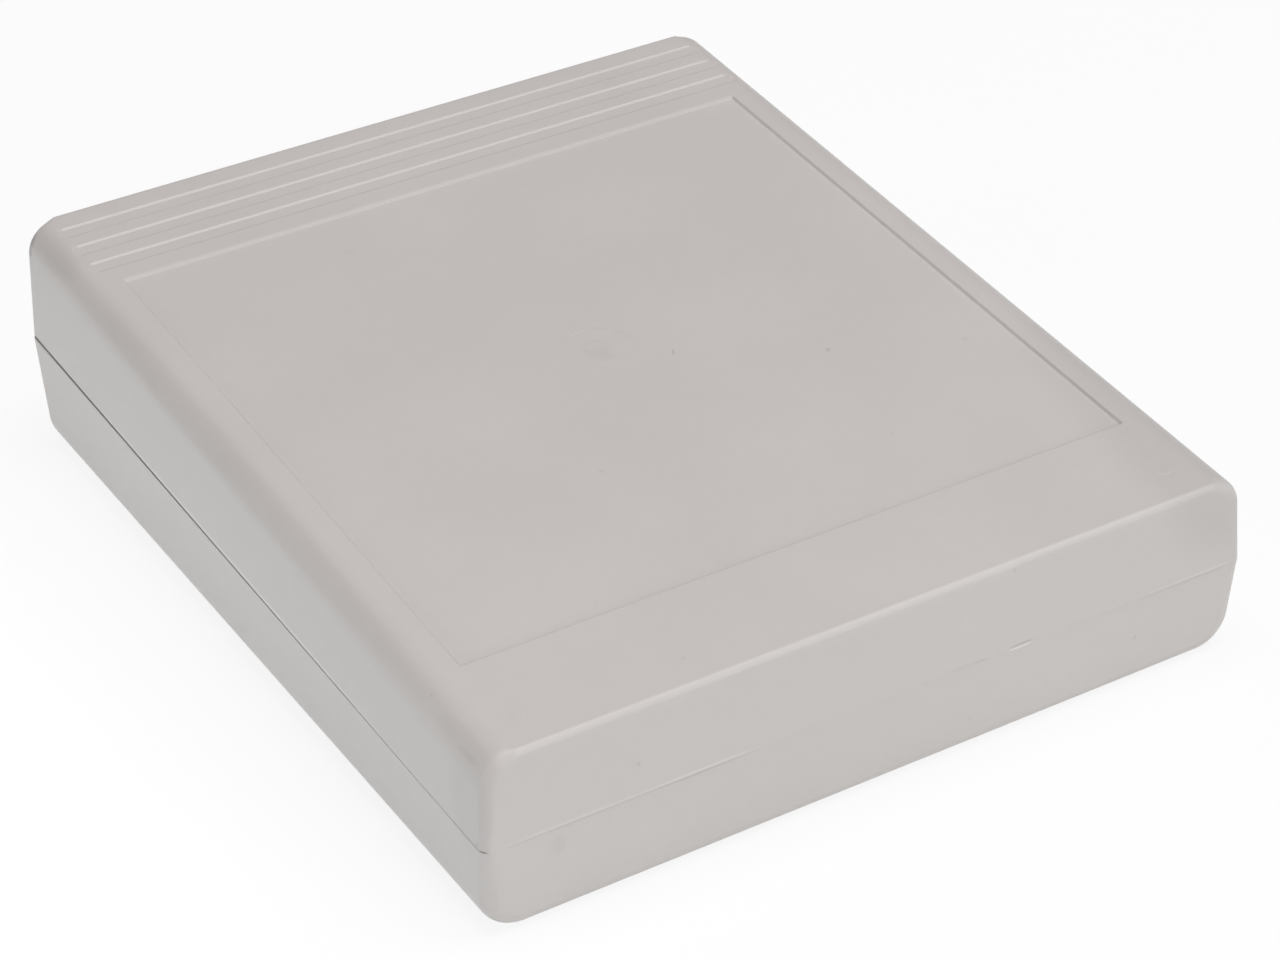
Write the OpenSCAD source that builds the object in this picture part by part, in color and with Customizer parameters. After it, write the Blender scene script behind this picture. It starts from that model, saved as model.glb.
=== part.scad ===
// Plastic project box with a sloping top, in two moulded shells closed by four screws.
// Millimetres. +X is to the right seen from the low front end, +Y runs to the tall back end,
// +Z is up. The origin is at the middle of the underside.

/* [Body] */
// Width across the sides, measured at the seam
body_w = 125; // [100:0.1:180]
// Length from the front end to the back end, measured at the seam
body_l = 147; // [120:1:210]
// Height of the sloping top over the front end
front_h = 29.5; // [27:0.5:42]
// Height of the sloping top over the back end
back_h = 39.8; // [32:0.1:60]
// Height of the seam between the shells at the front end
seam_front_h = 15; // [14:0.1:19]
// Height of the seam between the shells at the back end
seam_back_h = 20.4; // [15:0.1:26]

/* [Walls] */
// Thickness of the sides and the ends of both shells
wall = 2.2; // [1.8:0.1:3]
// Thickness of the top
top_t = 2.6; // [2.2:0.1:3.6]
// Thickness of the floor
floor_t = 2.4; // [2:0.1:3.6]

/* [Draft and edges] */
// Lean of the upper shell's long sides, in degrees
upper_side_draft = 2.7; // [0.5:0.1:5]
// Lean of the upper shell's ends, in degrees
upper_end_draft = 1.2; // [0.5:0.1:4]
// Lean of the lower shell's long sides, in degrees
lower_side_draft = 1.3; // [0.5:0.1:5]
// Lean of the lower shell's ends, in degrees
lower_end_draft = 3.2; // [0.5:0.1:4]
// Radius between the top and the long sides
top_side_r = 5.35; // [3:0.05:8]
// Radius between the top and the ends
top_end_r = 1.1; // [0.6:0.1:1.9]
// Radius of the upper shell's corners where the top, a side and an end meet
top_corner_r = 1.9; // [1.9:0.1:2.8]
// Radius between the underside and the long sides
bottom_side_r = 6; // [3:0.1:8]
// Radius between the underside and the ends
bottom_end_r = 2.5; // [1:0.1:2.9]
// Radius of the upright corners
corner_r = 1.5; // [1:0.1:3]
// How far the lower shell stands proud of the upper one along each long side
lower_proud = 0.1; // [0:0.05:0.5]
// How far the lower shell stays behind the upper one at each end
lower_shy = 0.1; // [0:0.05:0.5]
// Radius of the rounding along the upper shell's side rims
rim_r = 1.5; // [1:0.1:2]
// How far that rounding turns the rim in where it meets the seam
rim_turn_in = 0.43; // [0.1:0.01:0.6]

/* [Seam] */
// Height of the lower shell's tongue above the seam
tongue_h = 1.6; // [1:0.1:3]
// Depth of the tongue's outer face behind the outside of the wall
tongue_inset = 1.25; // [1.1:0.05:1.6]
// Clearance between the tongue and the upper shell's rebate
tongue_gap = 0.15; // [0.1:0.01:0.3]
// Open gap that the sagging left side leaves at the back end of the seam
left_gap_back = 0.6; // [0.1:0.05:1.1]
// Open gap on the left side where it starts, near the front
left_gap_front = 0.05; // [0.02:0.01:0.4]
// Distance from the front end to the start of that gap
left_gap_start = 16; // [8:1:40]

/* [Top surface] */
// Width of the recess for a label or a keypad
label_w = 109.5; // [80:0.5:165]
// Length of that recess along the slope
label_l = 105.8; // [70:0.5:165]
// Distance along the slope from the front end to the recess
label_front = 19.1; // [14:0.1:30]
// Depth of the recess
label_depth = 0.45; // [0.2:0.05:0.8]
// Number of grip grooves behind the recess
groove_count = 3; // [1:1:3]
// Width of a groove at the surface
groove_w = 3; // [2:0.1:4]
// Depth of a groove
groove_depth = 0.7; // [0.3:0.05:1]
// Slope of the groove's walls, in degrees
groove_wall_angle = 60; // [45:1:80]
// Distance between the middles of neighbouring grooves
groove_pitch = 5.5; // [4.5:0.1:7]
// Distance along the slope from the back end to the middle of the last groove
groove_back = 6.4; // [5:0.1:9]
// Distance from each long side to the end of a groove
groove_side = 3.9; // [3:0.1:12]
// Radius of the round witness line that the moulding gate leaves in the recess
gate_ring_r = 5.75; // [4:0.05:8]
// Depth of that line's step at its back, which fades to nothing at its front
gate_ring_depth = 0.06; // [0.03:0.01:0.2]
// Radius of the dimple at the gate
gate_dimple_r = 2.8; // [1.5:0.1:4]
// Depth of the dimple
gate_dimple_depth = 0.28; // [0.1:0.02:0.6]
// Sideways place of the gate, from the middle of the box
gate_x = -1.2; // [-10:0.1:10]
// Place of the gate along the slope, from the middle of the box
gate_y = -0.5; // [-10:0.1:10]
// Radius of the round mark that shows over each front boss
boss_mark_r = 1.5; // [1:0.1:2.5]
// Height of that mark at its front, which fades to nothing at its back
boss_mark_h = 0.06; // [0.03:0.01:0.15]

/* [Closing screws] */
// Distance from each long side to the screws
screw_side = 9.6; // [9:0.1:14]
// Distance from each end to the screws
screw_end = 7.6; // [7.4:0.1:12]
// Diameter of a screw's thread
screw_d = 2.9; // [2.5:0.1:3.2]
// Length of a screw under its head
screw_l = 12; // [9:0.5:13]
// Diameter of a screw's head
head_d = 5.5; // [4.5:0.1:6]
// Height of a screw's head
head_h = 2; // [1.4:0.1:2.6]
// Radial clearance between the thread and its pilot hole
thread_gap = 0.05; // [0.03:0.01:0.1]
// Diameter of the clearance hole in the lower shell's columns
clearance_d = 3.4; // [3.2:0.1:4]
// Thickness of the web that the screw head clamps
web_t = 3; // [2:0.1:4]
// Diameter of the head's counterbore
counterbore_d = 6.2; // [5.8:0.1:7]
// Outer diameter of the lower shell's screw columns
column_d = 8.8; // [8.4:0.1:10]
// Outer diameter of the upper shell's screw bosses
boss_d = 7; // [6:0.1:8]
// Distance from the seam down to the top of the columns
column_drop = 2; // [1:0.1:4]
// Gap between a column and the boss above it
column_gap = 0.2; // [0.1:0.05:0.5]
// Thickness of the webs that tie the bosses and columns to the walls
tie_t = 1.4; // [1:0.1:2]

/* [Circuit board posts] */
// Distance between the posts across the box
post_span_x = 90; // [50:1:130]
// Distance between the posts along the box
post_span_y = 100; // [60:1:160]
// Height of a post above the floor
post_h = 5; // [3:0.5:8]
// Outer diameter of a post
post_d = 6; // [5:0.1:8]
// Diameter of the hole in a post
post_hole_d = 2.5; // [2:0.1:3]
// Thickness of the four small gussets round a post
gusset_t = 1; // [0.8:0.1:1.5]
// How far the gussets stand out from a post
gusset_out = 2; // [1:0.1:4]

/* [Hidden] */

shell_grey = [0.76, 0.745, 0.725];
screw_steel = [0.72, 0.72, 0.70];
fine = 48;            // facets of a full turn on the large outer radii
medium = 24;          // facets of a full turn on the small outer radii
coarse = 16;          // facets of a full turn inside the shells
through = 1;          // how far a cut runs past the surface it opens
least_side_r = 1.2;   // least radius inside the shells, along the sides
least_end_r = 0.6;    // least radius inside the shells, at the ends and the corners
rim_lap = 0.3;        // how far the upright part of a rim runs past the seam plane
mark_fade = 0.6;      // how far from its middle a round mark's step fades out, as a share of its radius
boss_tie_rise = 2;    // how far the bosses' tie webs stay above the tongue
column_tie_drop = 1;  // how far the columns' tie webs stay below the columns' tops
gusset_neck = 0.5;    // how far a gusset reaches into its post at the top
gusset_drop = 1;      // how far a gusset stays below its post's top
sides = [-1, 1];

top_slope = (back_h - front_h) / body_l;
top_tilt = atan(top_slope);
seam_slope = (seam_back_h - seam_front_h) / body_l;
seam_tilt = atan(seam_slope);
screw_x = body_w / 2 - screw_side;
screw_y = body_l / 2 - screw_end;
thread_r = screw_d / 2;
pilot_r = thread_r + thread_gap;

// Height of the outer top surface at a place along the box
function top_z(y) = (front_h + back_h) / 2 + top_slope * y;
// Height of the seam at a place along the box
function seam_z(y) = (seam_front_h + seam_back_h) / 2 + seam_slope * y;
// Height of the top of the screw column at the front (-1) or the back (1)
function column_z(end) = seam_z(end * screw_y) - column_drop;
// Height of the face that a screw head bears on
function bearing_z(end) = column_z(end) - web_t;

// A ring whose hull is a round-edged disc, lying across the box, for the corner of a shell
module corner_ring(side_r, end_r, side_fn, end_fn) {
    rotate([90, 0, 0])
        rotate_extrude($fn = side_fn)
            translate([side_r - end_r, 0])
                circle(r = end_r, $fn = end_fn);
}

// The upper shell's outer form, shrunk by inset at the sides and by drop at the top
module upper_form(inset, drop, side_fn, end_fn) {
    side_r = max(top_side_r - inset, least_side_r);
    end_r = max(top_corner_r - inset, least_end_r);
    edge_r = max(top_end_r - inset, least_end_r);
    turn_r = max(corner_r - inset, least_end_r);
    half_w = body_w / 2 - inset;
    half_l = body_l / 2 - inset;
    // the cavity runs on below the outside, and the rim is cut at the seam
    rim_drop = inset > 0 ? 2 * through : through;
    hull() {
        for (end = sides) {
            lean = (top_z(end * half_l) - drop - seam_z(end * half_l) - side_r) * tan(upper_end_draft);
            y = end * (half_l - lean - end_r);
            z = top_z(y) - drop - (side_r - end_r) - end_r / cos(top_tilt);
            x = half_w - (z - seam_z(y)) * tan(upper_side_draft) - side_r;
            edge_y = y + end * (end_r - edge_r - (side_r - end_r) * tan(upper_end_draft));
            edge_z = top_z(edge_y) - drop - edge_r / cos(top_tilt);
            rim_y = end * (half_l - turn_r);
            for (side = sides) {
                translate([side * x, y, z])
                    corner_ring(side_r, end_r, side_fn, end_fn);
                // the edge between the top and the end is tighter than the corners
                translate([side * x, edge_y, edge_z])
                    sphere(r = edge_r, $fn = end_fn);
                translate([side * (half_w - turn_r), rim_y, seam_z(rim_y) - rim_drop])
                    cylinder(r = turn_r, h = rim_drop + rim_lap, $fn = end_fn);
            }
        }
    }
}

// The lower shell's outer form, shrunk by inset at the sides and raised by lift at the floor
module lower_form(inset, lift, side_fn, end_fn) {
    // the outside is cut at the seam, and inner forms run straight up through it
    rim_base = inset > 0 ? -through : rim_lap;
    side_r = max(bottom_side_r - inset, least_side_r);
    end_r = max(bottom_end_r - inset, least_end_r);
    turn_r = max(corner_r - inset, least_end_r);
    half_w = body_w / 2 + (inset > 0 ? 0 : lower_proud) - inset;
    half_l = body_l / 2 - (inset > 0 ? 0 : lower_shy) - inset;
    hull() {
        for (end = sides) {
            lean = (seam_z(end * half_l) - lift - side_r) * tan(lower_end_draft);
            y = end * (half_l - lean - end_r);
            z = lift + side_r;
            x = half_w - (seam_z(y) - z) * tan(lower_side_draft) - side_r;
            rim_y = end * (half_l - turn_r);
            for (side = sides) {
                translate([side * x, y, z])
                    corner_ring(side_r, end_r, side_fn, end_fn);
                translate([side * (half_w - turn_r), rim_y, seam_z(rim_y) + rim_base])
                    cylinder(r = turn_r, h = tongue_h + 2 * through, $fn = end_fn);
            }
        }
    }
}

// All the space above the seam plane, raised by lift
module above_seam(lift = 0) {
    span = 2 * (body_l + body_w);
    translate([0, 0, seam_z(0) + lift])
        rotate([seam_tilt, 0, 0])
            translate([-span / 2, -span / 2, 0])
                cube([span, span, span]);
}

// All the space below the seam plane, raised by lift
module below_seam(lift = 0) {
    span = 2 * (body_l + body_w);
    translate([0, 0, seam_z(0) + lift])
        rotate([seam_tilt, 0, 0])
            translate([-span / 2, -span / 2, -span])
                cube([span, span, span]);
}

// Places its children on the sloping top, at a distance along the slope from the middle
module on_top(x, y) {
    translate([0, 0, top_z(0)])
        rotate([top_tilt, 0, 0])
            translate([x, y, 0])
                children();
}

// Upright block with rounded corners, inset from the outside of the walls
module upright_block(inset, h) {
    half_w = body_w / 2 - inset;
    half_l = body_l / 2 - inset;
    turn_r = max(corner_r - inset, least_end_r);
    linear_extrude(height = h) {
        square([2 * half_w, 2 * (half_l - turn_r)], center = true);
        square([2 * (half_w - turn_r), 2 * half_l], center = true);
        for (side = sides)
            for (end = sides)
                translate([side * (half_w - turn_r), end * (half_l - turn_r)])
                    circle(r = turn_r, $fn = fine);
    }
}

// What the rounding along a side rim takes off the upper shell
module rim_rounding(side) {
    rise = sqrt(pow(rim_r, 2) - pow(rim_r - rim_turn_in, 2));
    translate([side * (body_w / 2 - rim_r), 0, seam_z(0) + rise])
        rotate([90 + seam_tilt, 0, 0])
            difference() {
                translate([side > 0 ? 0 : -rim_r - through, -rim_r - through, -body_l])
                    cube([rim_r + through, rim_r + through, 2 * body_l]);
                cylinder(r = rim_r, h = 3 * body_l, center = true, $fn = fine);
            }
}

// Shallow recess in the top for a label or a keypad, with its moulding gate
module label_recess() {
    slope_l = body_l / cos(top_tilt);
    on_top(0, label_front + label_l / 2 - slope_l / 2)
        translate([-label_w / 2, -label_l / 2, -label_depth])
            cube([label_w, label_l, label_depth + through]);
    on_top(gate_x, gate_y - mark_fade * gate_ring_r)
        translate([0, 0, -label_depth])
            rotate([-asin(gate_ring_depth / ((1 + mark_fade) * gate_ring_r)), 0, 0])
                translate([0, mark_fade * gate_ring_r, 0])
                    cylinder(r = gate_ring_r, h = label_depth, $fn = fine);
    // a dished dimple is a cap of a large ball
    ball_r = (pow(gate_dimple_r, 2) + pow(gate_dimple_depth, 2)) / (2 * gate_dimple_depth);
    on_top(gate_x, gate_y)
        translate([0, 0, ball_r - gate_dimple_depth - label_depth - gate_ring_depth / 2])
            sphere(r = ball_r, $fn = fine);
}

// One flat-bottomed grip groove with sloping walls and round ends
module grip_groove() {
    foot = groove_depth / tan(groove_wall_angle);
    half_w = groove_w / 2;
    straight = body_w - 2 * groove_side - groove_w;
    rotate([90, 0, 90])
        translate([0, 0, -straight / 2])
            linear_extrude(height = straight)
                polygon([[-half_w, through], [-half_w, 0], [-half_w + foot, -groove_depth],
                         [half_w - foot, -groove_depth], [half_w, 0], [half_w, through]]);
    for (side = sides)
        translate([side * straight / 2, 0, 0])
            rotate_extrude($fn = fine)
                polygon([[0, -groove_depth], [half_w - foot, -groove_depth], [half_w, 0],
                         [half_w, through], [0, through]]);
}

// The row of grip grooves behind the recess
module grip_grooves() {
    slope_l = body_l / cos(top_tilt);
    for (i = [0 : groove_count - 1])
        on_top(0, slope_l / 2 - groove_back - i * groove_pitch)
            grip_groove();
}

// The open wedge that the lower shell's sagging left side leaves under the seam
module left_seam_gap() {
    start_y = left_gap_start - body_l / 2;
    stop_y = body_l / 2 + through;
    translate([-body_w / 2 + tongue_inset, 0, 0])
        rotate([90, 0, -90])
            linear_extrude(height = tongue_inset + through)
                polygon([[-start_y, seam_z(start_y) + through], [-stop_y, seam_z(stop_y) + through],
                         [-stop_y, seam_z(stop_y) - left_gap_back],
                         [-start_y, seam_z(start_y) - left_gap_front]]);
}

// Webs that tie a boss or a column to the nearest side and end wall, from z0 up to z1
module corner_ties(side, end, z0, z1) {
    reach_x = screw_side - wall / 2;
    reach_y = screw_end - wall / 2;
    translate([side * screw_x + (side > 0 ? 0 : -reach_x), end * screw_y - tie_t / 2, z0])
        cube([reach_x, tie_t, z1 - z0]);
    translate([side * screw_x - tie_t / 2, end * screw_y + (end > 0 ? 0 : -reach_y), z0])
        cube([tie_t, reach_y, z1 - z0]);
}

// Upper shell: the sloping top, its walls and the bosses that take the screws
module top_shell() color(shell_grey) {
    difference() {
        union() {
            difference() {
                upper_form(0, 0, fine, medium);
                upper_form(wall, top_t, coarse, coarse);
            }
            for (side = sides)
                for (end = sides) {
                    foot_z = column_z(end) + column_gap;
                    roof_z = top_z(end * screw_y) - top_t / 2;
                    translate([side * screw_x, end * screw_y, foot_z])
                        cylinder(d = boss_d, h = roof_z - foot_z, $fn = fine);
                }
            intersection() {
                upper_form(wall / 2, top_t / 2, coarse, coarse);
                for (side = sides)
                    for (end = sides)
                        corner_ties(side, end, seam_z(end * body_l / 2) + tongue_h + boss_tie_rise, back_h);
            }
            for (side = sides)
                on_top(side * screw_x, mark_fade * boss_mark_r - screw_y / cos(top_tilt))
                    rotate([-asin(boss_mark_h / ((1 + mark_fade) * boss_mark_r)), 0, 0])
                        translate([0, -mark_fade * boss_mark_r, -top_t / 2])
                            cylinder(r = boss_mark_r, h = top_t / 2, $fn = fine);
        }
        // the rim: everything outside the tongue is cut at the seam, and the bosses hang lower
        difference() {
            below_seam();
            for (side = sides)
                for (end = sides)
                    translate([side * screw_x, end * screw_y, column_z(end) + column_gap - through])
                        cylinder(d = boss_d + 2 * tongue_gap, h = body_w, $fn = fine);
        }
        // the rebate that the lower shell's tongue stands in
        difference() {
            intersection() {
                upright_block(tongue_inset - tongue_gap, back_h);
                below_seam(tongue_h + 2 * tongue_gap);
            }
            upright_block(wall + through, 2 * back_h);
        }
        for (side = sides)
            rim_rounding(side);
        label_recess();
        grip_grooves();
        for (side = sides)
            for (end = sides)
                translate([side * screw_x, end * screw_y, column_z(end) + column_gap - through])
                    cylinder(r = pilot_r, h = screw_l - web_t + 2 * through, $fn = fine);
    }
}

// A post for a circuit board, with four gussets at its foot
module board_post() {
    foot = post_d / 2 + gusset_out;
    neck = post_d / 2 - gusset_neck;
    shoulder_z = floor_t + post_h - gusset_drop;
    translate([0, 0, floor_t / 2])
        cylinder(d = post_d, h = floor_t / 2 + post_h, $fn = fine);
    for (turn = [0, 90])
        rotate([90, 0, turn])
            translate([0, 0, -gusset_t / 2])
                linear_extrude(height = gusset_t)
                    polygon([[-foot, floor_t / 2], [foot, floor_t / 2], [foot, floor_t], [neck, shoulder_z],
                             [-neck, shoulder_z], [-foot, floor_t]]);
}

// Lower shell: the floor, its walls with the tongue, the screw columns and the board posts
module bottom_shell() color(shell_grey) {
    difference() {
        union() {
            difference() {
                union() {
                    difference() {
                        lower_form(0, 0, fine, medium);
                        above_seam();
                    }
                    // the tongue stands on the inner part of the wall
                    difference() {
                        lower_form(tongue_inset, floor_t / 2, coarse, coarse);
                        above_seam(tongue_h);
                    }
                }
                lower_form(wall, floor_t, coarse, coarse);
                left_seam_gap();
            }
            for (side = sides)
                for (end = sides)
                    translate([side * screw_x, end * screw_y, floor_t / 2])
                        cylinder(d = column_d, h = column_z(end) - floor_t / 2, $fn = fine);
            intersection() {
                lower_form(wall / 2, floor_t / 2, coarse, coarse);
                for (side = sides)
                    for (end = sides)
                        corner_ties(side, end, 0, column_z(end) - column_tie_drop);
            }
            for (side = sides)
                for (end = sides)
                    translate([side * post_span_x / 2, end * post_span_y / 2, 0])
                        board_post();
        }
        for (side = sides)
            for (end = sides) {
                translate([side * screw_x, end * screw_y, -through])
                    cylinder(d = counterbore_d, h = bearing_z(end) + through, $fn = fine);
                translate([side * screw_x, end * screw_y, 0])
                    cylinder(d = clearance_d, h = column_z(end) + through, $fn = fine);
            }
        for (side = sides)
            for (end = sides)
                translate([side * post_span_x / 2, end * post_span_y / 2, floor_t])
                    cylinder(d = post_hole_d, h = post_h + through, $fn = fine);
    }
}

// Self-tapping screw, head down, with its head on the column's web
module closing_screw(side, end) color(screw_steel) {
    tip_l = 1.6 * thread_r;
    translate([side * screw_x, end * screw_y, bearing_z(end)])
        rotate_extrude($fn = fine)
            polygon([[0, -head_h], [head_d / 4, -head_h], [0.42 * head_d, -0.8 * head_h],
                     [head_d / 2, -0.4 * head_h], [head_d / 2, 0], [thread_r, 0],
                     [thread_r, screw_l - tip_l], [0.25 * thread_r, screw_l], [0, screw_l]]);
}

module screw_front_left() closing_screw(-1, -1);
module screw_front_right() closing_screw(1, -1);
module screw_back_left() closing_screw(-1, 1);
module screw_back_right() closing_screw(1, 1);

top_shell();
bottom_shell();
screw_front_left();
screw_front_right();
screw_back_left();
screw_back_right();
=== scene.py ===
# %% [markdown]
# A plastic project box, finished in Blender. The box is two moulded shells and four screws. Their
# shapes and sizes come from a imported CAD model, which is loaded here as a fixed frame. This lesson
# gives the shells the small edge radii of a real mould, models the screws with their threads, and
# makes the satin plastic, the bright steel, the light and the camera. Everything is in metres, in
# the frame's own coordinates, so no piece has to be moved or fitted afterwards.

# %% Load the frame
import math

import bmesh
import bpy
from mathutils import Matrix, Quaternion, Vector


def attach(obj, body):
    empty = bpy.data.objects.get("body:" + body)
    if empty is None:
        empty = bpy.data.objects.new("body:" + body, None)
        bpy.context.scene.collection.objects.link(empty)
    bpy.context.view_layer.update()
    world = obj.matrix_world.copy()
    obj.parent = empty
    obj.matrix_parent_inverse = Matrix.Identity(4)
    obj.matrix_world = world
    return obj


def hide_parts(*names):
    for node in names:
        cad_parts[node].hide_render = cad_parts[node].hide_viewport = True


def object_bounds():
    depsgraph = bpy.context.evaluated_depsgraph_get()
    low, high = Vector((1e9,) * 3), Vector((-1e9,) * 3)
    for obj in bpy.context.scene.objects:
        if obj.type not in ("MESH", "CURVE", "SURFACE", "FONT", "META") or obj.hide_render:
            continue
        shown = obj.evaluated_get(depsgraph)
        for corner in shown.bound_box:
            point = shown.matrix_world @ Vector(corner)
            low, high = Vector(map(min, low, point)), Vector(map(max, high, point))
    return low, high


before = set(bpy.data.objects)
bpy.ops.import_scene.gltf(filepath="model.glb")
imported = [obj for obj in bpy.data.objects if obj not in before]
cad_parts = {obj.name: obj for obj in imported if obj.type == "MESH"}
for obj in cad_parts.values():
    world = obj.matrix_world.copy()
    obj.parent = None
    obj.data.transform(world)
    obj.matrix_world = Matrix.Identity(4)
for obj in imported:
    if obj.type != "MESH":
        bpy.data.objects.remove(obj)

MM = 0.001

cad_low, cad_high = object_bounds()
cad_size = (cad_high - cad_low) / MM
print(f"CAD box: {cad_size.x:.1f} x {cad_size.y:.1f} x {cad_size.z:.1f} mm")

# %% [markdown]
# The camera stands to the left of the low front end and looks down on the sloping top. It is placed
# by a target on the box, a direction, a distance and a lens. The lens is a long one, because a long
# lens keeps the box's edges close to parallel. A quaternion that points the camera's -Z axis at the
# target is then turned a little about that axis for the roll.

# %% Camera
camera_azimuth = math.radians(-30.34)
camera_elevation = math.radians(33.46)
camera_roll = math.radians(-1.437)
camera_distance = 0.54741
camera_target = Vector((0.00234, -0.00516, 0.01239))
camera_lens_mm = 101.81


def direction(azimuth, elevation):
    """The unit vector to that side and height, where azimuth 0 is straight in front."""
    level = math.cos(elevation)
    return Vector((
        math.sin(azimuth) * level, -math.cos(azimuth) * level, math.sin(elevation)))


towards_camera = direction(camera_azimuth, camera_elevation)
camera = bpy.data.objects.new("camera", bpy.data.cameras.new("camera"))
camera.data.lens = camera_lens_mm
camera.data.sensor_width = 36
camera.data.clip_start = 0.01
camera.location = camera_target + towards_camera * camera_distance
camera.rotation_mode = "QUATERNION"
aim = (-towards_camera).to_track_quat("-Z", "Y")
camera.rotation_quaternion = aim @ Quaternion((0, 0, 1), camera_roll)
bpy.context.scene.collection.objects.link(camera)
bpy.context.scene.camera = camera
bpy.context.scene.view_settings.view_transform = "Standard"
print("camera at", [round(c, 4) for c in camera.location])

# %% [markdown]
# Every finish here is a small tree of shader nodes. Writing each node, its settings and its links
# by hand takes four lines or more, so one helper adds a node, fills in its inputs and links
# whatever it is given from other nodes. Patterns all read Object coordinates. They are in metres
# and stay with the piece when it moves, so a grain of 0.2 mm is a noise with a scale of about one
# over 0.0002. Most of a noise lies between 0.3 and 0.7, so another helper spreads just that range.

# %% A helper for shader nodes
def new_finish(name):
    """An empty material and its node tree, with only an output node in it."""
    material = bpy.data.materials.new(name)
    material.use_nodes = True
    tree = material.node_tree
    tree.nodes.clear()
    return material, tree


def add_node(tree, kind, inputs=None, **settings):
    """Adds a shader node. Each input is a value, or a socket of another node to link."""
    node = tree.nodes.new("ShaderNode" + kind)
    for setting, value in settings.items():
        setattr(node, setting, value)
    for socket, value in (inputs or {}).items():
        if isinstance(value, bpy.types.NodeSocket):
            tree.links.new(value, node.inputs[socket])
        else:
            node.inputs[socket].default_value = value
    return node


def remap(tree, value, low, high, to_low, to_high, smooth=False):
    """Map Range: low..high becomes to_low..to_high, and stays within them."""
    kind = "SMOOTHSTEP" if smooth else "LINEAR"
    numbers = {"Value": value, "From Min": low, "From Max": high,
               "To Min": to_low, "To Max": to_high}
    return add_node(tree, "MapRange", numbers, interpolation_type=kind).outputs["Result"]


def spread(tree, noise, to_low, to_high):
    """The usual range of a noise node becomes to_low..to_high."""
    return remap(tree, noise.outputs["Fac"], 0.3, 0.7, to_low, to_high)


def calculate(tree, operation, a, b=0.0):
    """Math: a (operation) b."""
    return add_node(tree, "Math", {0: a, 1: b}, operation=operation).outputs[0]


# %% [markdown]
# The box is moulded in a warm light grey ABS. Its skin is satin: the mould was spark-eroded, which
# leaves a dense, shallow grain of about a fifth of a millimetre. The grain is bump, since it is far
# too fine for geometry. Over it lie two slow variations that real mouldings have: faint clouds in
# the colour, where the melt cooled unevenly, and patches of slightly different gloss from handling.

# %% Satin plastic: colour, gloss and grain
plastic_colour = (0.548, 0.519, 0.494)
cloud_size = 28 * MM
fleck_size = 2.2 * MM
grain_size = 0.21 * MM
grain_depth = 0.011 * MM


def plastic_surface(tree, position):
    """Colour, roughness and bump sockets of the bare plastic."""
    clouds = add_node(tree, "TexNoise", {
        "Vector": position, "Scale": 1 / cloud_size, "Detail": 3})
    flecks = add_node(tree, "TexNoise", {
        "Vector": position, "Scale": 1 / fleck_size, "Detail": 4})
    grain = add_node(tree, "TexNoise", {
        "Vector": position, "Scale": 1 / grain_size, "Detail": 2, "Roughness": 0.6})
    cloud_shade = spread(tree, clouds, 0.988, 1.012)
    fleck_shade = spread(tree, flecks, 0.994, 1.006)
    shade = calculate(tree, "MULTIPLY", cloud_shade, fleck_shade)
    colour = add_node(tree, "VectorMath", {0: plastic_colour, "Scale": shade}, operation="SCALE")
    gloss_patches = spread(tree, clouds, 0.42, 0.50)
    roughness = calculate(tree, "ADD", gloss_patches, spread(tree, grain, -0.03, 0.03))
    bump = add_node(tree, "Bump", {
        "Height": grain.outputs["Fac"], "Strength": 1.0, "Distance": grain_depth})
    return colour.outputs["Vector"], roughness, bump.outputs["Normal"]


# %% [markdown]
# The box isn't quite clean. There is a short dark fibre near the middle of the top, a few dust
# specks, a dull smudge on the lower front where the plastic sank a little as it cooled, and
# darker spots, streaks and patches at both ends of the left edge of the top. Other marks are
# painted light: a painted shade round the dimple at the moulding gate, in the seam at the front
# end of the left side, on the left wall beside the front corner, and over the right end of the
# front and of the top, and painted highlights along the front seam, each beside a thin painted
# shadow. Two long bands follow the left side: a painted shade along the rounding of the top, and
# a painted highlight along the seam. Each mark is an ellipsoid in space round a point on the
# surface. A Mapping node of the Texture type moves its middle to zero, turns it back and divides
# by its radii, so the length of the result is 1 on the ellipsoid, and a loop multiplies the colour
# by each mark's shade. The steps of the moulding marks are 0.06 mm high, and the arc of each that
# would catch the light is a painted highlight. An arc is a thin band round a circle, faded by how
# far the direction from its middle agrees with a given one.

# %% Marks on the surface
body_length = (cad_high - cad_low).y
top_front_height = 29.5 * MM
top_back_height = 39.8 * MM
top_middle_height = (top_front_height + top_back_height) / 2
top_slope = (top_back_height - top_front_height) / body_length
seam_front_height = 15.0 * MM
seam_back_height = 20.4 * MM
seam_middle_height = (seam_front_height + seam_back_height) / 2
seam_slope = (seam_back_height - seam_front_height) / body_length


def on_top(x, y, below=0.45):
    """The point at (x, y) that far below the sloping top, all in millimetres."""
    return Vector((x * MM, y * MM, top_middle_height + top_slope * y * MM - below * MM))


def on_front(x, z):
    """The point just inside the front wall at (x, z), in millimetres."""
    return Vector((x * MM, cad_low.y + 0.1 * MM, z * MM))


def on_left(y, z):
    """The point just inside the left wall at (y, z), in millimetres."""
    return Vector((cad_low.x + 0.3 * MM, y * MM, z * MM))


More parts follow.
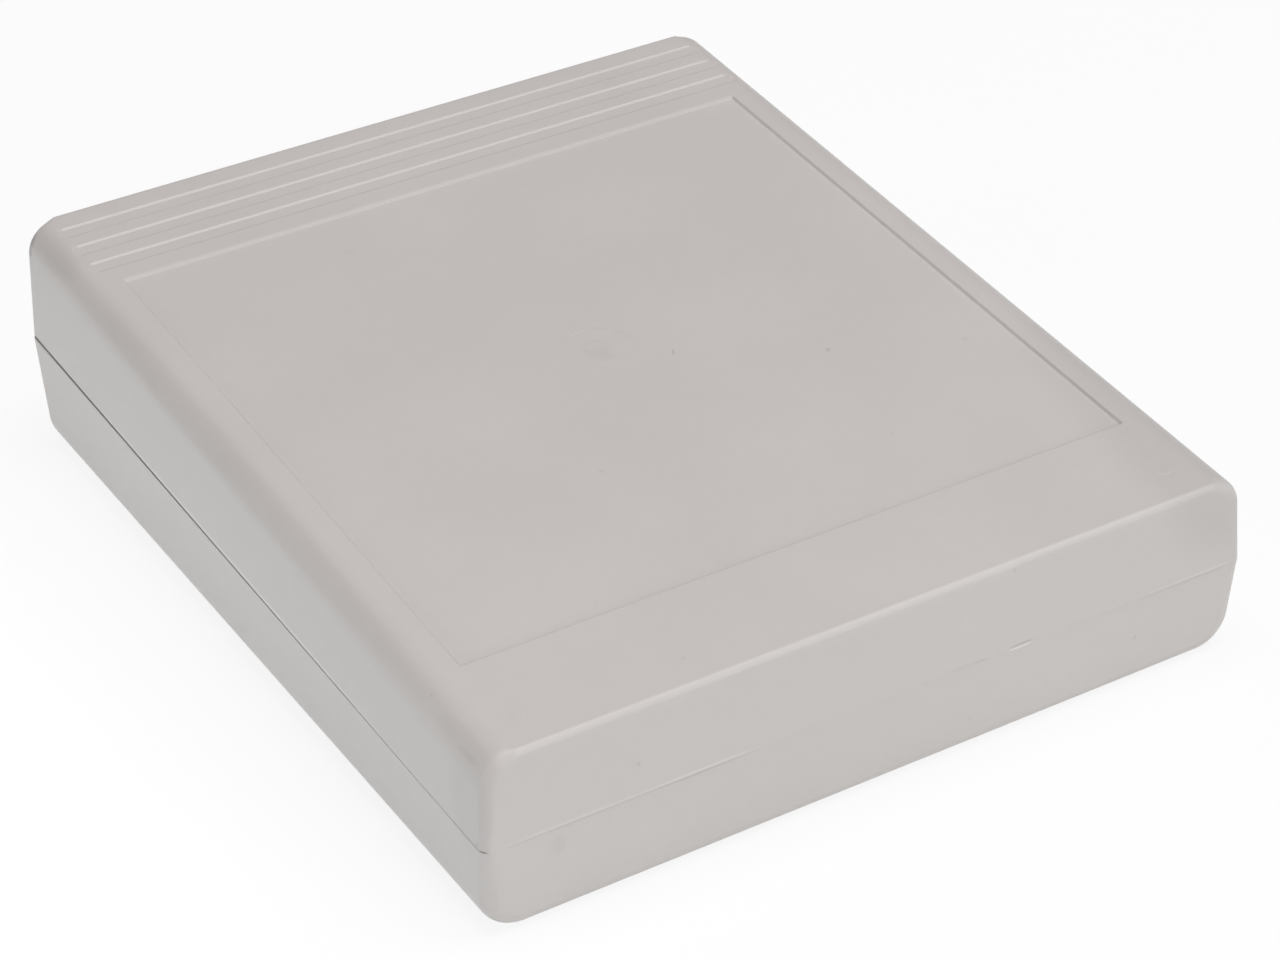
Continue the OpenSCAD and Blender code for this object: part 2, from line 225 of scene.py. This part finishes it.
# each mark: middle, radii in mm, turn about Z in degrees, share of the light left in its middle
marks = [
    # painted shade round the dimple at the moulding gate
    (on_top(-1.2, 0.5), (3.0, 2.7, 1.0), 0, 0.945),
    (on_top(7.9, -6.3), (0.22, 1.1, 1.0), -30, 0.82),
    (on_top(28.2, -17.2), (0.7, 0.5, 1.0), 30, 0.86),
    (on_top(-21.1, 41.5), (1.6, 1.2, 1.0), 0, 0.975),
    (on_top(-16.5, -26.3), (0.4, 0.4, 1.0), 0, 0.93),
    (on_top(24.5, -39.3), (0.3, 0.6, 1.0), 20, 0.94),
    (on_top(47.7, -25.0), (0.4, 0.5, 1.0), 0, 0.93),
    (on_top(-32.3, -51.5), (0.3, 0.3, 1.0), 0, 0.93),
    (on_top(-28.4, -67.8, 0), (0.4, 0.4, 1.0), 0, 0.94),
    (on_front(-51.3, 12.0), (1.5, 1.2, 2.1), 0, 0.955),
    (on_front(-38.9, 20.3), (0.5, 0.8, 0.5), 0, 0.90),
    (on_front(21.8, 28.3), (0.4, 0.8, 0.4), 0, 0.90),
    (on_front(44.0, 8.1), (0.6, 1.0, 0.5), 0, 0.91),
    (on_front(15.3, 5.4), (0.4, 1.0, 0.4), 0, 0.93),
    # painted highlights and thin painted shadows along the front seam, above and below it
    (on_front(-29.0, 15.4), (11.0, 0.8, 0.28), 0, 1.12),
    (on_front(-29.0, 14.9), (11.0, 0.8, 0.26), 0, 0.87),
    (on_front(-48.0, 15.4), (15.0, 0.8, 0.26), 0, 1.08),
    (on_front(-48.0, 14.9), (15.0, 0.8, 0.25), 0, 0.91),
    (on_front(14.0, 15.3), (4.5, 0.8, 0.25), 0, 0.95),
    (on_front(16.5, 15.1), (1.4, 0.8, 0.26), 0, 0.88),
    (on_front(23.3, 15.4), (2.6, 0.8, 0.27), 0, 0.80),
    (on_front(23.3, 14.9), (2.7, 0.8, 0.28), 0, 1.28),
    (on_front(53.0, 15.4), (11.0, 0.8, 0.26), 0, 1.08),
    (on_front(53.0, 14.9), (11.0, 0.8, 0.25), 0, 0.91),
    (on_left(55.9, 22.5), (0.8, 0.4, 0.3), 0, 0.82),
    # painted shade in the seam at the front end of the left side
    (on_left(-71.6, 15.7), (0.8, 0.35, 0.6), 0, 0.80),
    (on_left(-73.0, 15.1), (0.8, 0.8, 0.22), 0, 0.85),
    # painted shade on the left wall beside the front corner
    (on_left(-70.0, 21.0), (2.5, 7.0, 11.0), 0, 0.955),
    # darker spots, a streak and a patch at the front end of the left edge of the top
    (Vector((-0.0605, -0.0563, 0.0299)), (0.9, 0.3, 0.9), 0, 0.86),
    (Vector((-0.0607, -0.0582, 0.0294)), (0.9, 0.6, 0.35), 0, 0.88),
    (Vector((-0.0608, -0.0665, 0.0283)), (2.2, 9.0, 2.4), 0, 0.96),
    (Vector((-0.0617, -0.0685, 0.0278)), (0.9, 4.5, 0.9), 0, 0.89),
    (Vector((-0.0619, -0.0718, 0.0271)), (0.7, 1.0, 0.8), 0, 0.80),
    # a darker patch and spots at the back end of the left edge of the top
    (Vector((-0.0602, 0.0660, 0.0376)), (3.2, 12.0, 3.2), 0, 0.94),
    (Vector((-0.0606, 0.0718, 0.0364)), (1.6, 1.4, 2.2), 0, 0.75),
    (Vector((-0.0613, 0.0712, 0.0352)), (0.8, 0.8, 1.0), 0, 0.72),
    # painted shade over the right end of the front and of the top, where less light falls
    (on_top(62.0, -72.0, 0), (17.0, 62.0, 16.0), 0, 0.93),
]

# each painted band: middle, radii in mm, slope along Y, share of the light left in its middle
painted_light_bands = [
    # painted shade along the left rounding of the top
    (Vector((-0.0604, 0.0050, 0.0331)), (3.0, 95.0, 3.0), top_slope, 0.935),
    # painted highlight on the upper shell's edge just above the left seam
    (on_left(2.0, 18.15), (0.6, 62.0, 0.34), seam_slope, 1.16),
]

# each painted highlight arc: middle, radius in mm, direction of its brightest part, how well a
# direction has to agree with that one to be lit at all, share of the light added
painted_arc_highlights = [
    (on_top(-1.2, -0.5), 5.75, (0.17, 1, 0), 0.75, 0.11),
    (on_top(52.9, -65.9, 0), 1.5, (-0.35, -0.95, 0), 0.3, 0.15),
    (on_top(-52.9, -65.9, 0), 1.5, (0.3, -1, 0), 0.6, 0.05),
]
arc_half_width = 0.19
arc_full_light = 0.97
mark_core = 0.5


def from_middle(tree, position, centre, radii, rotation=(0, 0, 0)):
    """The way from a mark's middle, in units of its radii, and the length of that way."""
    way = add_node(tree, "Mapping", {
        "Vector": position, "Location": centre, "Rotation": rotation,
        "Scale": [radius * MM for radius in radii]}, vector_type="TEXTURE").outputs[0]
    reach = add_node(tree, "VectorMath", {0: way}, operation="LENGTH").outputs["Value"]
    return way, reach


def mark_shade(tree, position, centre, radii, turn, light_left, tilt=0.0):
    """The share of light left by a mark: 1 outside it, with a soft edge."""
    reach = from_middle(tree, position, centre, radii, (tilt, 0, math.radians(turn)))[1]
    return remap(tree, reach, mark_core, 1, light_left, 1, smooth=True)


def arc_highlight(tree, position, centre, radius, facing, reach_to, light_added):
    """The painted highlight on an arc: a little over 1 on its lit part, and 1 elsewhere."""
    way, reach = from_middle(tree, position, centre, (radius, radius, radius))
    off = calculate(tree, "ABSOLUTE", calculate(tree, "SUBTRACT", reach, 1.0))
    band = remap(tree, off, 0, arc_half_width / radius, 1, 0, smooth=True)
    agreement = add_node(tree, "VectorMath", {0: way, 1: facing}, operation="DOT_PRODUCT")
    light = remap(tree, agreement.outputs["Value"], reach_to, arc_full_light, 0, light_added,
                  smooth=True)
    return calculate(tree, "ADD", calculate(tree, "MULTIPLY", band, light), 1.0)


def shade_marks(tree, position, colour):
    """Multiplies the colour by every mark and arc: dirt, painted shade and painted highlights."""
    left = 1.0
    for centre, radii, slope, light_left in painted_light_bands:
        shade = mark_shade(tree, position, centre, radii, 0, light_left, math.atan(slope))
        left = calculate(tree, "MULTIPLY", left, shade)
    for mark in marks:
        left = calculate(tree, "MULTIPLY", left, mark_shade(tree, position, *mark))
    for arc in painted_arc_highlights:
        left = calculate(tree, "MULTIPLY", left, arc_highlight(tree, position, *arc))
    shaded = add_node(tree, "VectorMath", {0: colour, "Scale": left}, operation="SCALE")
    return shaded.outputs["Vector"]


def make_plastic(name):
    """The whole finish: bare plastic with its marks, painted shade and painted highlights."""
    material, tree = new_finish(name)
    position = add_node(tree, "TexCoord").outputs["Object"]
    colour, roughness, normal = plastic_surface(tree, position)
    colour = shade_marks(tree, position, colour)
    shader = add_node(tree, "BsdfPrincipled", {
        "Base Color": colour, "Roughness": roughness, "IOR": 1.5, "Normal": normal})
    add_node(tree, "OutputMaterial", {"Surface": shader.outputs[0]})
    return material


plastic = make_plastic("shell_plastic_satin")
print(f"{plastic.name}: {len(plastic.node_tree.nodes)} nodes, {len(marks)} marks, "
      f"{len(painted_light_bands)} long marks, {len(painted_arc_highlights)} arcs")

# %% [markdown]
# No moulded edge is perfectly sharp. A mould's own corners leave radii of about a tenth of a
# millimetre, and it is these that catch the light as thin lines round the recess and the seam. The
# CAD shells have none of these tiny radii, so each is copied, its loose triangles are merged, flat
# regions are joined into single faces, and the sharp edges are bevelled with two segments, by less
# where the rims touch.
#
# The upper shell's copy is also corrected in three places before that. Its left rim is brought out
# to the line of the wall, the walls of its label recess get a slope, and the floors of its grip
# grooves are raised, because such grooves are shallow. Their walls are then too low for a radius,
# so the walls' edges are marked sharp instead. A Weighted Normal modifier keeps the broad faces
# flat to the light, and keeps those sharp edges, while the bevels shade round.

# %% Shells with softened edges
weld_distance = 0.004 * MM
flat_angle = math.radians(0.4)
sharp_angle = math.radians(40)
edge_radius = 0.12 * MM
seam_end_radius = 0.05 * MM
groove_depth = 0.7 * MM
groove_eased_depth = 0.19 * MM
groove_reach = 58.7 * MM
groove_angle = math.radians(14)
top_flat_half = 56.46 * MM
top_side_radius = 5.35 * MM
label_width = 109.5 * MM
label_depth = 0.45 * MM
recess_wall_foot = 0.3 * MM
upper_width = 125 * MM
rim_radius = 1.5 * MM
rim_turn_in = 0.43 * MM
side_draft = math.radians(2.7)
outer_band = 0.9 * MM
near_plane = 0.03 * MM
near_line = 0.02 * MM
near_floor = 0.05 * MM
groove_field = (0.35, 0.47)


def new_piece(name, bm, finish):
    """A mesh object from a bmesh, at the origin, with one finish and smooth faces."""
    mesh = bpy.data.meshes.new(name)
    bm.to_mesh(mesh)
    bm.free()
    mesh.materials.append(finish)
    mesh.shade_smooth()
    piece = bpy.data.objects.new(name, mesh)
    bpy.context.scene.collection.objects.link(piece)
    return piece


def above_seam(point):
    """How far a point lies above the plane where the shells meet."""
    return point.z - seam_middle_height - seam_slope * point.y


def on_tight_seam(edge):
    """Whether an edge belongs to the outside of a rim, where the two shells touch."""
    return all(abs(above_seam(v.co)) < near_plane
               and (abs(v.co.x) > upper_width / 2 - outer_band
                    or abs(v.co.y) > body_length / 2 - outer_band) for v in edge.verts)


def below_top(point):
    """How far a point lies below the sloping top."""
    return top_middle_height + top_slope * point.y - point.z


def straighten_left_rim(bm):
    """Brings the left rim of the upper shell, which turns in a little, out to the line of its wall."""
    rise = math.sqrt(rim_radius ** 2 - (rim_radius - rim_turn_in) ** 2)
    corner_y = body_length / 2 - rim_radius
    for vert in bm.verts:
        height = above_seam(vert.co)
        off_x = vert.co.x + upper_width / 2 - rim_radius
        on_rim = off_x < 0 and abs(math.hypot(off_x, height - rise) - rim_radius) < near_line
        if on_rim and -weld_distance < height < rise:
            vert.co.x = height * math.tan(side_draft) - upper_width / 2
            vert.co.y = max(-corner_y, min(corner_y, vert.co.y))
            vert.co.z -= above_seam(vert.co) - height


def slope_recess_walls(bm):
    """Moves the corners of the label recess's floor inward, so that its walls slope."""
    for vert in bm.verts:
        on_floor = abs(below_top(vert.co) - label_depth) < near_plane
        if on_floor and abs(abs(vert.co.x) - label_width / 2) < near_line:
            inward_x = -math.copysign(recess_wall_foot, vert.co.x)
            inward_y = -math.copysign(recess_wall_foot, vert.co.y)
            vert.co += Vector((inward_x, inward_y, top_slope * inward_y))


def in_groove_field(point):
    """Whether a point lies in the field of the grip grooves, near the top."""
    near_back = groove_field[0] * body_length < point.y < groove_field[1] * body_length
    near_top = below_top(point) < groove_depth + near_floor
    return near_back and near_top and abs(point.x) < groove_reach


def ease_grooves(bm):
    """Raises the floors of the grip grooves, which fade out over the rounded sides of the top."""
    for vert in bm.verts:
        if in_groove_field(vert.co) and abs(below_top(vert.co) - groove_depth) < near_floor:
            over_side = max(0, abs(vert.co.x) - top_flat_half)
            surface = top_side_radius - math.sqrt(top_side_radius ** 2 - over_side ** 2)
            vert.co.z += (groove_depth - surface) * (1 - groove_eased_depth / groove_depth)


def crease_grooves(bm):
    """Marks the edges of the grooves' walls sharp, since the walls are too low for a radius."""
    for edge in bm.edges:
        if edge.is_manifold and all(in_groove_field(v.co) for v in edge.verts):
            edge.smooth = edge.calc_face_angle() < groove_angle


def is_sharp(edge):
    """Whether an edge gets a radius: it turns sharply, and both its faces have room for one."""
    if not edge.is_manifold or edge.calc_length() < 2 * weld_distance:
        return False
    narrowest = min(face.calc_area() for face in edge.link_faces) / edge.calc_length()
    return edge.calc_face_angle() > sharp_angle and narrowest > 2 * edge_radius


def round_edges(bm, edges, radius, segments=2, clamp_overlap=False):
    """Bevels these edges."""
    bmesh.ops.bevel(bm, geom=edges, offset=radius, offset_type="OFFSET", affect="EDGES",
                    segments=segments, profile=0.5, material=-1, clamp_overlap=clamp_overlap)


def softened_shell(node, name, finish):
    """A merged copy of a CAD shell whose sharp edges have a small radius."""
    bm = bmesh.new()
    bm.from_mesh(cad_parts[node].data)
    bmesh.ops.remove_doubles(bm, verts=bm.verts[:], dist=weld_distance)
    if node == "top_shell":
        straighten_left_rim(bm)
        slope_recess_walls(bm)
        ease_grooves(bm)
    bmesh.ops.dissolve_limit(bm, angle_limit=flat_angle, verts=bm.verts[:], edges=bm.edges[:])
    crease_grooves(bm)
    sharp = [edge for edge in bm.edges if is_sharp(edge) and not on_tight_seam(edge)]
    round_edges(bm, sharp, edge_radius)
    seam = [edge for edge in bm.edges if edge.is_manifold and on_tight_seam(edge)
            and edge.calc_face_angle() > sharp_angle]
    round_edges(bm, seam, seam_end_radius)
    print(f"{name}: {len(sharp)} sharp edges and {len(seam)} seam edges softened,",
          f"{len(bm.faces)} faces")
    shell = new_piece(name, bm, finish)
    shell.modifiers.new("flat faces stay flat", "WEIGHTED_NORMAL").keep_sharp = True
    return shell


lid = softened_shell("top_shell", "upper_shell", plastic)
base = softened_shell("bottom_shell", "lower_shell", plastic)
for shell, node, body in ((lid, "top_shell", "lid"), (base, "bottom_shell", "base")):
    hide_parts(node)
    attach(shell, body)

# %% [markdown]
# The four closing screws are thread-forming screws of 2.9 by 12 mm, head down in the lower shell.
# The CAD screw is a plain shank. Here the head and the core are turned from one profile. The flat
# of the head is filled round a cross outline, and the outline is extruded inward with a taper to
# make the recess. The thread is a small triangle that a spin carries round the core and up by one
# pitch a turn, and at the point its crest shrinks with the core. The zinc plating has faint turning
# rings. The four screws stand at mirrored places, so absolute coordinates less one screw's place
# give each screw its own middle.

# %% Closing screws
steel_colour = (0.62, 0.62, 0.60)
screw_x = 52.9 * MM
screw_y = 65.9 * MM
column_drop = 2 * MM
web_thickness = 3 * MM
# (distance from the axis, height) in mm, with height 0 where the head bears
head_profile = ((1.375, -2.0), (2.31, -1.6), (2.75, -0.8), (2.75, 0.0))
core_profile = ((1.08, 0.0), (1.08, 9.4), (0.3, 11.8))
head_face = head_profile[0][1] * MM
head_edge_radius = 0.16 * MM
head_edge_angle = math.radians(20)
head_edge_reach = 1.3 * MM
thread_pitch = 1.1 * MM
thread_crest = 1.43 * MM
thread_root = 1.0 * MM
thread_start = 0.6 * MM
thread_half_share = 0.32
thread_run_out = 0.7
thread_turn_steps = 28
point_start = 9.4 * MM
point_end = 11.8 * MM
point_shrink = 0.72
recess_reach = 1.22 * MM
recess_half_width = 0.28 * MM
recess_depth = 1.1 * MM
recess_taper = 0.55
head_turn_steps = 40
ring_pitch = 0.09 * MM
ring_depth = 0.002 * MM
plating_size = 0.5 * MM


def make_steel(name):
    """Bright zinc-plated steel with turning rings and a slightly uneven plating."""
    material, tree = new_finish(name)
    position = add_node(tree, "TexCoord").outputs["Object"]
    mirrored = add_node(tree, "VectorMath", {0: position}, operation="ABSOLUTE").outputs[0]
    centred = add_node(tree, "VectorMath", {
        0: mirrored, 1: (screw_x, screw_y, 0)}, operation="SUBTRACT").outputs[0]
    flat = add_node(tree, "VectorMath", {0: centred, 1: (1, 1, 0)}, operation="MULTIPLY").outputs[0]
    reach = add_node(tree, "VectorMath", {0: flat}, operation="LENGTH").outputs["Value"]
    rings = calculate(tree, "SINE", calculate(tree, "MULTIPLY", reach, math.tau / ring_pitch))
    plating = add_node(tree, "TexNoise", {
        "Vector": position, "Scale": 1 / plating_size, "Detail": 4})
    shade = spread(tree, plating, 0.86, 1.04)
    colour = add_node(tree, "VectorMath", {0: steel_colour, "Scale": shade}, operation="SCALE")
    roughness = spread(tree, plating, 0.24, 0.40)
    bump = add_node(tree, "Bump", {"Height": rings, "Strength": 1.0, "Distance": ring_depth})
    shader = add_node(tree, "BsdfPrincipled", {
        "Base Color": colour.outputs[0], "Metallic": 1.0, "Roughness": roughness,
        "Normal": bump.outputs["Normal"]})
    add_node(tree, "OutputMaterial", {"Surface": shader.outputs[0]})
    return material


def spin_profile(bm, points, turns, climb, steps):
    """Draws an open line through the points in the XZ plane and spins it about Z."""
    verts = [bm.verts.new((x, 0, z)) for x, z in points]
    edges = [bm.edges.new(pair) for pair in zip(verts, verts[1:])]
    bmesh.ops.spin(bm, geom=verts + edges, cent=(0, 0, 0), axis=(0, 0, 1), dvec=(0, 0, climb),
                   angle=turns * math.tau, steps=steps, use_merge=turns == 1)


def cut_recess(bm):
    """Fills the open end of the head round a cross and extrudes the cross inward."""
    reach, half = recess_reach, recess_half_width
    quarter = [(reach, -half), (reach, half), (half, half)]
    outline = []
    for turn in range(4):
        for x, y in quarter:
            for _ in range(turn):
                x, y = -y, x
            outline.append(bm.verts.new((x, y, head_face)))
    cross = [bm.edges.new((a, b)) for a, b in zip(outline, outline[1:] + outline[:1])]
    rim = [edge for edge in bm.edges if edge.is_boundary
           and all(abs(v.co.z - head_face) < weld_distance for v in edge.verts)]
    bmesh.ops.triangle_fill(bm, use_beauty=True, edges=rim + cross)
    grown = bmesh.ops.extrude_edge_only(bm, edges=cross)["geom"]
    inner = [item for item in grown if isinstance(item, bmesh.types.BMVert)]
    floor_edges = [item for item in grown if isinstance(item, bmesh.types.BMEdge)
                   and all(v in inner for v in item.verts)]
    for vert in inner:
        x, y, z = vert.co
        vert.co = Vector((x * recess_taper, y * recess_taper, z + recess_depth))
    bmesh.ops.edgeloop_fill(bm, edges=floor_edges)


def add_thread(bm):
    """A triangular ridge that climbs the core and fades out along the point."""
    before = set(bm.verts)
    turns = (point_end - thread_start) / thread_pitch - thread_run_out
    half = thread_half_share * thread_pitch
    points = ((thread_root, thread_start - half), (thread_crest, thread_start),
              (thread_root, thread_start + half))
    steps = round(turns * thread_turn_steps)
    spin_profile(bm, points, turns, thread_pitch * turns / steps, steps)
    for vert in set(bm.verts) - before:
        along = max(0, (vert.co.z - point_start) / (point_end - point_start))
        shrink = 1 - point_shrink * min(1, along)
        vert.co.x *= shrink
        vert.co.y *= shrink


def closing_screw(name, side, end, finish):
    """One screw, head down, with its head on the web of its column."""
    bm = bmesh.new()
    profile = [(x * MM, z * MM) for x, z in head_profile + core_profile]
    profile.append((0, profile[-1][1]))
    spin_profile(bm, profile, 1, 0, head_turn_steps)
    bmesh.ops.remove_doubles(bm, verts=bm.verts[:], dist=weld_distance)
    cut_recess(bm)
    rims = [edge for edge in bm.edges
            if edge.is_manifold and edge.calc_face_angle() > head_edge_angle
            and min(v.co.xy.length for v in edge.verts) > head_edge_reach]
    round_edges(bm, rims, head_edge_radius, segments=3, clamp_overlap=True)
    add_thread(bm)
    bmesh.ops.recalc_face_normals(bm, faces=bm.faces[:])
    seam_height = seam_middle_height + seam_slope * end * screw_y
    place = Vector((side * screw_x, end * screw_y, seam_height - column_drop - web_thickness))
    bmesh.ops.translate(bm, verts=bm.verts[:], vec=place)
    count = len(bm.faces)
    screw = new_piece(name, bm, finish)
    screw.modifiers.new("flat faces stay flat", "WEIGHTED_NORMAL")
    print(f"{name}: {count} faces, bearing height {place.z / MM:.2f} mm")
    return screw


steel = make_steel("screw_steel_zinc")
for end, end_name in ((-1, "front"), (1, "back")):
    for side, side_name in ((-1, "left"), (1, "right")):
        screw = closing_screw(f"closing_screw_{end_name}_{side_name}", side, end, steel)
        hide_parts(f"screw_{end_name}_{side_name}")
        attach(screw, "base")

# %% [markdown]
# The stage is a wide white table under a pale studio. The table is a matt white that shows the
# box's soft shadow. For the camera, for reflections and for light passed through, Light Path mixes
# a share of plain white into it, so that the background is white without more light on the box. It
# lies a hair below the box's underside, so that the two faces don't flicker through each other.
#
# Four softboxes light the box: the main one overhead, one low in front, one on the front right and
# a weak one low behind the left side. Each has its own slight tint, which sets how warm or cool the
# faces turned to it look. Two weak lamps hang low over the table, on the left and in front, and
# face down. The table sends their light up to the walls beside them, and the camera doesn't see the
# lamps themselves.

# %% Table and studio
table_half = 3.0
table_drop = 0.02 * MM
table_colour = (0.86, 0.86, 0.86, 1)
table_white_share = 0.86
world_strength = 0.10
softbox_distance = 1.2
softbox_width = 0.7
table_lamp_height = 0.05
table_lamp_colour = (0.855, 0.935, 1.0)

table_bm = bmesh.new()
bmesh.ops.create_grid(table_bm, x_segments=4, y_segments=4, size=table_half)
bmesh.ops.translate(table_bm, verts=table_bm.verts[:], vec=(0, 0, -table_drop))
table_finish, table_tree = new_finish("table_white")
light_path = add_node(table_tree, "LightPath")
seen = light_path.outputs["Is Camera Ray"]
for ray in ("Is Glossy Ray", "Is Transmission Ray"):
    seen = calculate(table_tree, "MAXIMUM", seen, light_path.outputs[ray])
share = calculate(table_tree, "MULTIPLY", seen, table_white_share)
matt_white = add_node(table_tree, "BsdfDiffuse", {"Color": table_colour})
plain_white = add_node(table_tree, "Emission", {"Color": (1, 1, 1, 1), "Strength": 1.0})
table_mix = add_node(table_tree, "MixShader", {
    0: share, 1: matt_white.outputs[0], 2: plain_white.outputs[0]})
add_node(table_tree, "OutputMaterial", {"Surface": table_mix.outputs[0]})
table = new_piece("table", table_bm, table_finish)

world = bpy.data.worlds.new("studio")
world.use_nodes = True
bpy.context.scene.world = world
world_light = world.node_tree.nodes["Background"]
world_light.inputs["Color"].default_value = (1.0, 1.0, 1.0, 1)
world_light.inputs["Strength"].default_value = world_strength


def place_lamp(name, location, target, width, height, power, colour):
    """A rectangular area light at a location, facing a target."""
    lamp = bpy.data.lights.new(name, "AREA")
    lamp.shape = "RECTANGLE"
    lamp.size = width
    lamp.size_y = height
    lamp.energy = power
    lamp.color = colour
    light = bpy.data.objects.new(name, lamp)
    light.location = location
    light.rotation_mode = "QUATERNION"
    light.rotation_quaternion = (target - location).to_track_quat("-Z", "Y")
    bpy.context.scene.collection.objects.link(light)
    return light


def softbox(name, azimuth, elevation, power, colour):
    """A square softbox that faces the box from that direction, in degrees."""
    turn, rise = math.radians(azimuth), math.radians(elevation)
    location = camera_target + direction(turn, rise) * softbox_distance
    place_lamp(name, location, camera_target, softbox_width, softbox_width, power, colour)


softbox("softbox_overhead", 0, 88, 8.5, (0.99, 0.87, 0.912))
softbox("softbox_front", 10, 22, 4.95, (1.0, 0.99, 1.0))
softbox("softbox_front_right", 60, 55, 4.4, (0.80, 1.0, 1.0))
softbox("softbox_left", -110, 22, 2.2, (0.90, 1.0, 0.95))
for side, middle, width, length, power in (
        ("left", (-0.19, 0.015), 0.10, 0.30, 0.198), ("front", (0, -0.25), 0.25, 0.10, 0.10)):
    above = Vector((*middle, table_lamp_height))
    lamp = place_lamp(f"lamp_over_table_{side}", above, above - Vector((0, 0, 1)),
                      width, length, power, table_lamp_colour)
    lamp.visible_camera = False
    lamp.visible_glossy = False
